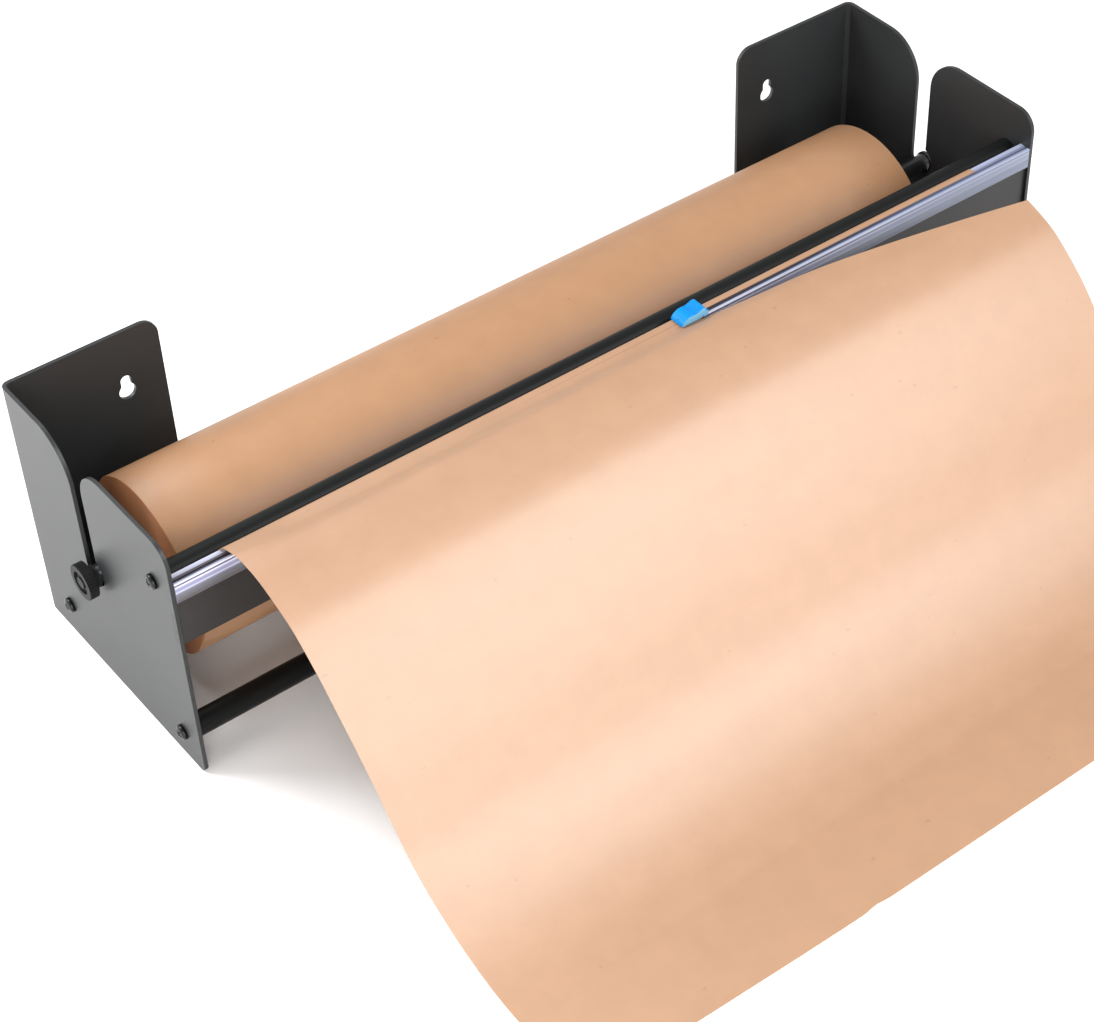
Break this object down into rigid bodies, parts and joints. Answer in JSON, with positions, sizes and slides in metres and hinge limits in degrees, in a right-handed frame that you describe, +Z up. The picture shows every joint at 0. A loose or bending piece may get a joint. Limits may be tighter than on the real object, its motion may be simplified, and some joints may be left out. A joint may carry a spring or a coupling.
{
  "type": "gift wrap paper cutter",
  "caption": "Wall or counter wrapping-paper cutter: folded brackets on tie bars, a kraft paper roll on a lift-out shaft, and a slotted clear track with a sliding cutter.",
  "frame": {"origin": "midway between the two wall keyholes, on the wall plane", "axes": "+X to the viewer's right along the roll, +Y into the wall, -Y to the front where the sheet comes out, +Z up"},
  "size_m": [0.537, 0.403, 0.1415],
  "materials": {
    "bracket_steel": "satin black powder coat on folded 2 mm steel",
    "bar_steel": "satin black paint on steel tube",
    "panel_steel": "satin black powder coat",
    "shaft_steel": "satin black paint",
    "screw_steel": "black oxide",
    "black_plastic": "moulded, knurled",
    "plug_plastic": "moulded",
    "brass": "turned",
    "clear_plastic": "clear extrusion with a bluish tint",
    "tape": "double-sided tape",
    "blue_plastic": "moulded blue",
    "runner_plastic": "moulded",
    "blade_steel": "ground",
    "core_board": "wound board",
    "kraft_paper": "plain brown kraft"
  },
  "bodies": {
    "frame": {"left_bracket": "bracket_steel", "right_bracket": "bracket_steel", "guide_rod": "bar_steel", "lower_front_bar": "bar_steel", "lower_rear_bar": "bar_steel", "guide_plug_left": "plug_plastic", "guide_plug_right": "plug_plastic", "front_plug_left": "plug_plastic", "front_plug_right": "plug_plastic", "rear_plug_left": "plug_plastic", "rear_plug_right": "plug_plastic", "guide_screw_left": "screw_steel", "guide_screw_right": "screw_steel", "front_screw_left": "screw_steel", "front_screw_right": "screw_steel", "rear_screw_left": "screw_steel", "rear_screw_right": "screw_steel", "front_panel": "panel_steel", "track_tape": "tape", "cutter_track": "clear_plastic", "paper_web": "kraft_paper", "paper_sheet": "kraft_paper"},
    "slider": {"slider_body": "blue_plastic", "slider_runner": "runner_plastic", "cutter_blade": "blade_steel"},
    "shaft": {"roll_shaft": "shaft_steel"},
    "roll": {"roll_core": "core_board", "paper_roll": "kraft_paper"},
    "knob": {"left_knob": "black_plastic", "left_knob_insert": "brass"}
  },
  "joints": [
    {"name": "cutter_slide", "type": "slide", "parent": "frame", "child": "slider", "axis": [1, 0, 0], "range_m": [-0.283, 0.221]},
    {"name": "shaft_unseat", "type": "slide", "parent": "frame", "child": "shaft", "axis": [0, 0.241, 0.9705], "range_m": [0, 0.0106]},
    {"name": "roll_spin", "type": "hinge", "parent": "shaft", "child": "roll", "pos_m": [-0.0052, -0.0669, -0.047], "axis": [1, 0, 0], "continuous": true},
    {"name": "knob_turn", "type": "hinge", "parent": "shaft", "child": "knob", "pos_m": [-0.267, -0.0669, -0.03705], "axis": [-1, 0, 0], "range_deg": [0, 1980]}
  ]
}
